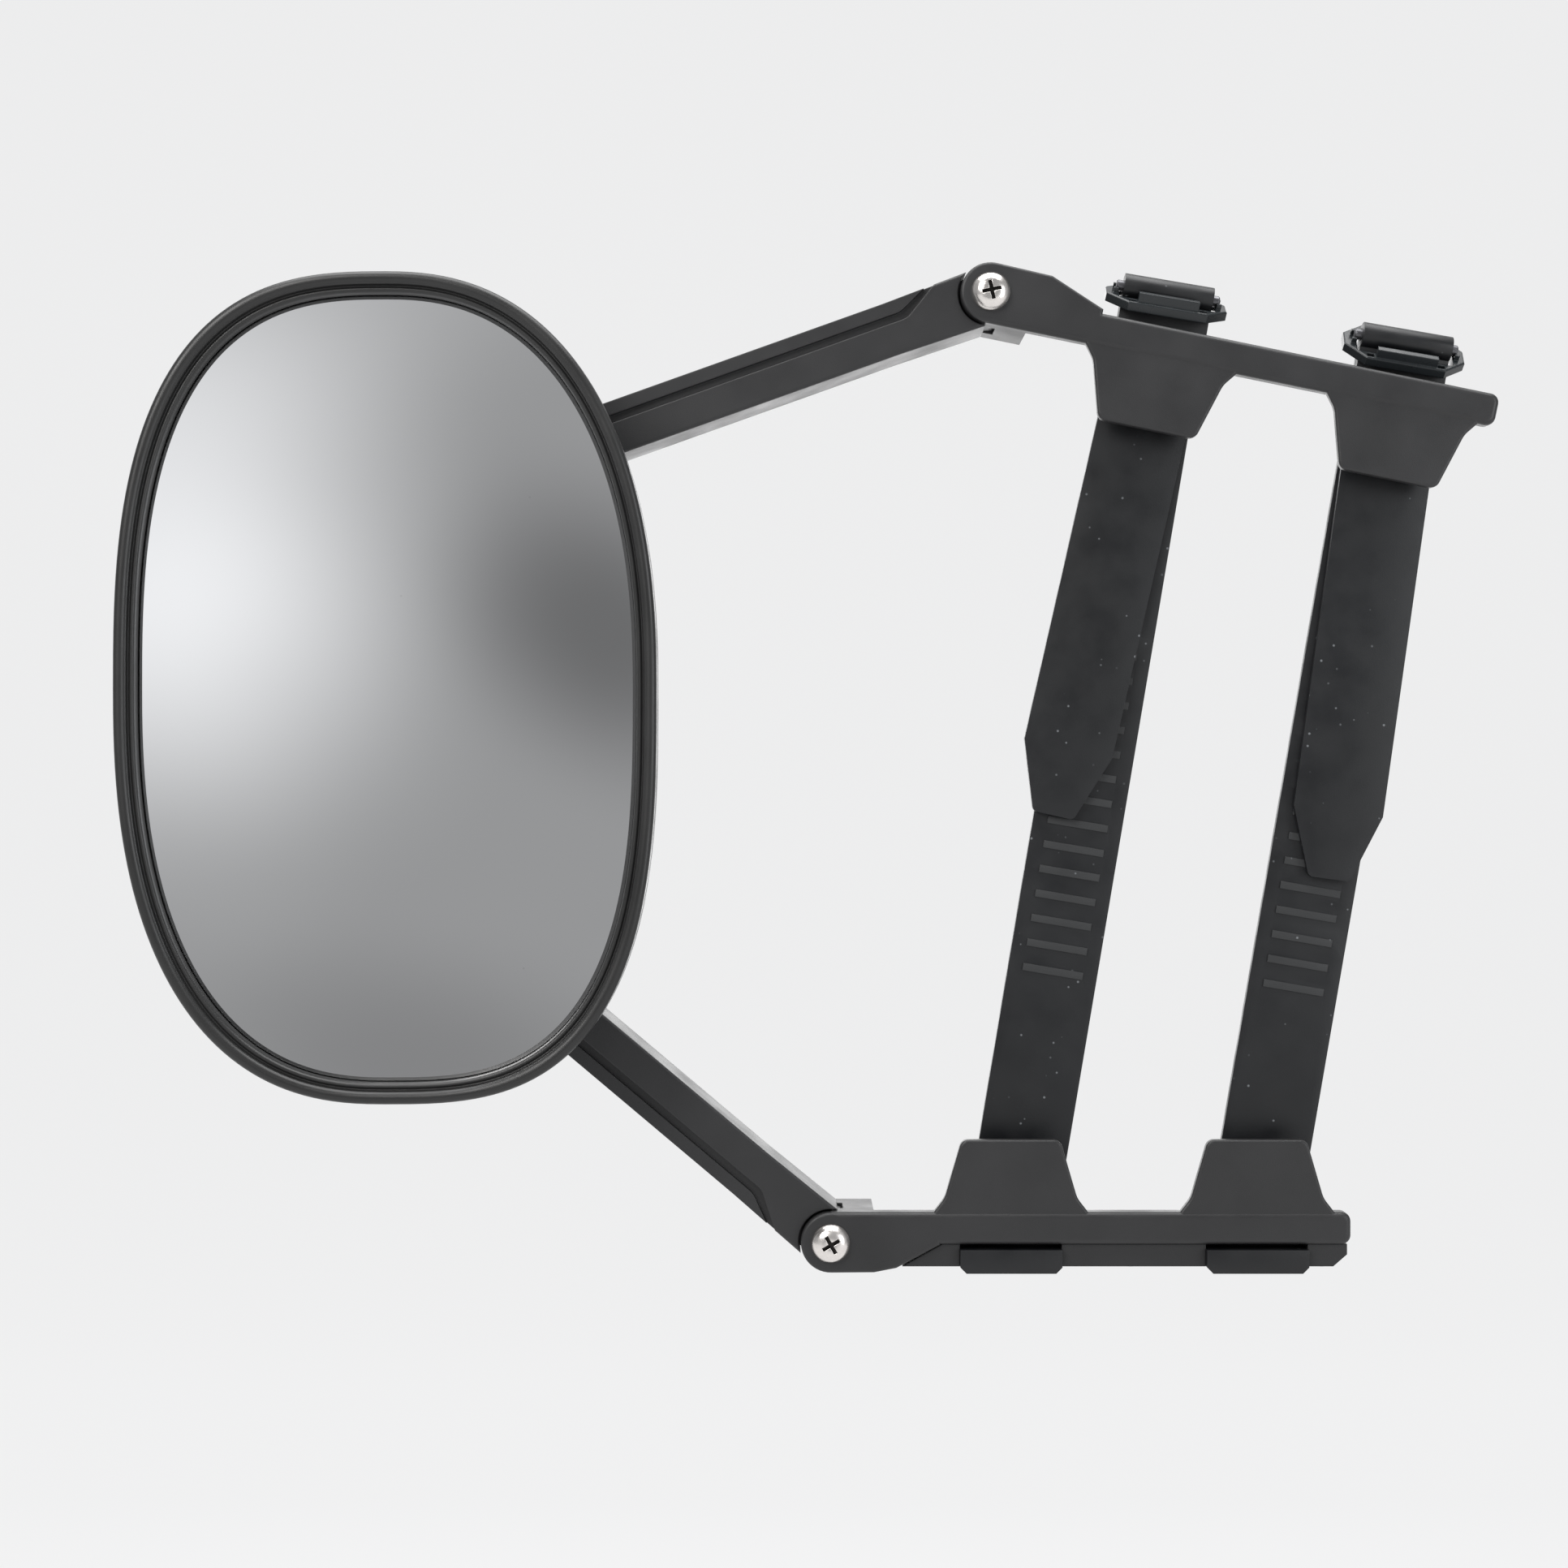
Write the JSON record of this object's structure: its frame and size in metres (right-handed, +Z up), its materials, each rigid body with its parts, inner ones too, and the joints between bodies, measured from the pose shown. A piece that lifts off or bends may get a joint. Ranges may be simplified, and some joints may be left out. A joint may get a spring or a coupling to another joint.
{
  "type": "towing mirror",
  "caption": "Clip-on towing mirror: a rounded head on two hinged arms, with a clamp of two rails and buckled rubber straps that grips a car door mirror.",
  "frame": {"origin": "centre of the clamp, on the plane of the rails' front faces", "axes": "+X from the mirror head towards the outer end of the clamp, +Y away from the driver (the glass faces -Y), +Z up"},
  "size_m": [0.4368, 0.0784, 0.3274],
  "materials": {
    "body_plastic": "dark grey moulded nylon, fine satin grain",
    "rim_plastic": "dark grey satin rim",
    "cover_plastic": "near black satin",
    "buckle_plastic": "near black, slightly glossy",
    "strap_rubber": "near black moulded rubber",
    "pad_rubber": "matt black rubber",
    "mirror_glass": "silvered flat glass",
    "adhesive_foam": "black double-sided foam",
    "bearing_nylon": "natural nylon",
    "stainless_steel": "bright stainless steel",
    "pin_steel": "dark plated steel",
    "zinc_steel": "bright zinc plated steel"
  },
  "bodies": {
    "lower_clamp": {"lower_rail": "body_plastic", "lower_tongue_pads": "pad_rubber", "lower_grip_strip": "pad_rubber", "lower_rail_cover": "cover_plastic", "cover_screws": "zinc_steel", "lower_hinge_screw": "stainless_steel", "lower_hinge_washer": "zinc_steel", "lower_hinge_nut": "zinc_steel", "lower_hinge_bush": "bearing_nylon", "left_strap": "strap_rubber", "right_strap": "strap_rubber"},
    "upper_clamp": {"upper_rail": "body_plastic", "upper_tongue_pads": "pad_rubber", "upper_grip_strip": "pad_rubber", "upper_hinge_screw": "stainless_steel", "upper_hinge_washer": "zinc_steel", "upper_hinge_nut": "zinc_steel", "upper_hinge_bush": "bearing_nylon"},
    "left_buckle": {"left_buckle_plate": "buckle_plastic", "left_buckle_pin": "pin_steel"},
    "right_buckle": {"right_buckle_plate": "buckle_plastic", "right_buckle_pin": "pin_steel"},
    "lower_arm": {"lower_arm": "body_plastic"},
    "upper_arm": {"upper_arm": "body_plastic"},
    "bracket": {"head_bracket": "body_plastic", "ball_stud": "zinc_steel", "ball_stud_nut": "zinc_steel", "ball_stud_washer": "zinc_steel", "upper_bracket_bolt": "zinc_steel", "upper_bracket_washers": "zinc_steel", "upper_bracket_nut": "zinc_steel", "lower_bracket_bolt": "zinc_steel", "lower_bracket_washers": "zinc_steel", "lower_bracket_nut": "zinc_steel"},
    "ball_seat": {"ball_seat": "bearing_nylon"},
    "head": {"mirror_housing": "body_plastic", "mirror_bezel": "rim_plastic", "mirror_glass": "mirror_glass", "glass_adhesive_pad": "adhesive_foam", "glass_backing_plate": "body_plastic", "socket_clamp_ring": "body_plastic", "clamp_ring_screws": "zinc_steel", "housing_screws": "zinc_steel"}
  },
  "joints": [
    {"name": "clamp_span", "type": "slide", "parent": "lower_clamp", "child": "upper_clamp", "axis": [0.168, 0, 0.9858], "range_m": [-0.0164, 0.0164], "deforming": ["left_strap", "right_strap"]},
    {"name": "lower_arm_swing", "type": "hinge", "parent": "lower_clamp", "child": "lower_arm", "pos_m": [-0.1067, 0.013, -0.1449], "axis": [0, -1, 0], "range_deg": [-4, 4]},
    {"name": "bracket_swing", "type": "hinge", "parent": "lower_arm", "child": "bracket", "pos_m": [-0.2439, 0.013, -0.0294], "axis": [0, -1, 0], "range_deg": [-4, 4]},
    {"name": "upper_arm_swing", "type": "hinge", "parent": "upper_clamp", "child": "upper_arm", "pos_m": [-0.0549, 0.013, 0.163], "axis": [0, -1, 0], "range_deg": [-4, 4]},
    {"name": "head_pan", "type": "hinge", "parent": "bracket", "child": "ball_seat", "pos_m": [-0.2439, -0.018, 0.0331], "axis": [0, 0, 1], "range_deg": [-6, 6]},
    {"name": "head_tilt", "type": "hinge", "parent": "ball_seat", "child": "head", "pos_m": [-0.2439, -0.018, 0.0331], "axis": [1, 0, 0], "range_deg": [-4, 4]},
    {"name": "left_buckle_tilt", "type": "hinge", "parent": "upper_clamp", "child": "left_buckle", "pos_m": [0.00425, 0.01238, 0.16493], "axis": [0.9861, 0, -0.1661], "range_deg": [-3, 3]},
    {"name": "right_buckle_tilt", "type": "hinge", "parent": "upper_clamp", "child": "right_buckle", "pos_m": [0.08251, 0.01238, 0.14887], "axis": [0.9855, 0, -0.1699], "range_deg": [-3, 3]}
  ],
  "couplings": [
    {"joint": "lower_arm_swing", "follows": "clamp_span", "rad_per_m": -3.1624},
    {"joint": "bracket_swing", "follows": "clamp_span", "rad_per_m": 3.1624},
    {"joint": "upper_arm_swing", "follows": "clamp_span", "rad_per_m": 2.9244}
  ]
}
